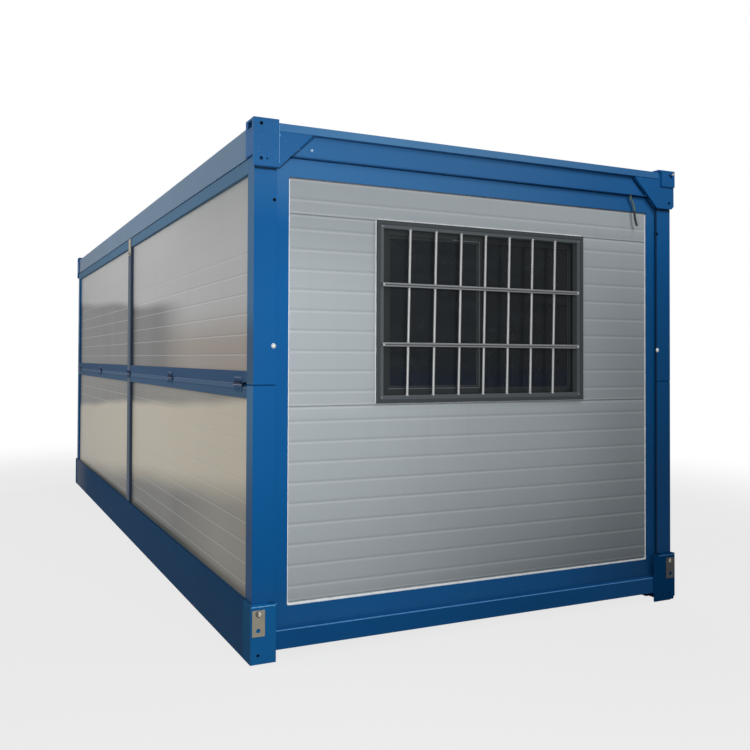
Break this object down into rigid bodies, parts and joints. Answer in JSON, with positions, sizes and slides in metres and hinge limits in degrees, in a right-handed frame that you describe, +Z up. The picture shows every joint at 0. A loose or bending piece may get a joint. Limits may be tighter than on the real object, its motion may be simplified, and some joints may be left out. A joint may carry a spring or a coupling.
{
  "type": "folding container house",
  "caption": "Steel-framed folding container house with grooved sandwich panels, a barred window in one end wall that swings up under the roof, and long walls split for folding.",
  "frame": {"origin": "middle of the footprint, on the ground", "axes": "+Z up, Y along the length with the window end at -Y, X across the width with the left side at -X"},
  "size_m": [2.5, 5.8, 2.4],
  "materials": {
    "blue_steel": "semi-gloss blue paint on rolled steel",
    "sandwich_panel": "light grey coated sheet with shallow grooves",
    "bare_steel": "bare galvanised steel",
    "latch_steel": "beige zinc-plated strap",
    "floor_board": "plain boarded floor",
    "window_aluminium": "dark grey anodised",
    "glass": "dark clear glazing",
    "door_steel": "light grey pressed steel door",
    "handle_metal": "satin",
    "roof_sheet": "ribbed coated roof sheet",
    "ceiling": "white ceiling board",
    "black_plastic": "moulded gland",
    "cable_sheath": "weathered cable sheath"
  },
  "bodies": {
    "shell": {"base_side_beam_left": "blue_steel", "base_side_beam_right": "blue_steel", "base_end_beams": "blue_steel", "corner_feet": "blue_steel", "foot_link_plates": "bare_steel", "floor_joists": "blue_steel", "floor_board": "floor_board", "front_left_post": "blue_steel", "front_right_post": "blue_steel", "back_left_post": "blue_steel", "back_right_post": "blue_steel", "left_wall_upper_frame": "blue_steel", "left_wall_lower_frame": "blue_steel", "left_wall_upper_panels": "sandwich_panel", "left_wall_lower_panels": "sandwich_panel", "left_wall_hinges": "blue_steel", "right_wall_upper_frame": "blue_steel", "right_wall_lower_frame": "blue_steel", "right_wall_upper_panels": "sandwich_panel", "right_wall_lower_panels": "sandwich_panel", "right_wall_hinges": "blue_steel", "wall_latches": "latch_steel", "end_wall_hinge_brackets": "blue_steel", "back_wall_frame": "blue_steel", "back_wall_panels": "sandwich_panel", "back_wall_hinge_sleeves": "blue_steel", "door_frame": "blue_steel", "door": "door_steel", "door_handle": "handle_metal", "roof_side_beam_left": "blue_steel", "roof_side_beam_right": "blue_steel", "roof_end_beams": "blue_steel", "roof_deck": "roof_sheet", "ceiling_board": "ceiling", "roof_corner_blocks": "blue_steel", "roof_corner_plates": "blue_steel", "roof_gussets": "blue_steel", "cable_gland": "black_plastic", "supply_cable": "cable_sheath"},
    "front_end_wall": {"front_wall_frame": "blue_steel", "front_wall_panel": "sandwich_panel", "window_frame": "window_aluminium", "window_sashes": "window_aluminium", "window_glass": "glass", "front_wall_hinge_sleeves": "blue_steel"}
  },
  "joints": [
    {"name": "front_wall_swing", "type": "hinge", "parent": "shell", "child": "front_end_wall", "pos_m": [0, -2.78, 2.24], "axis": [1, 0, 0], "range_deg": [0, 90]}
  ]
}
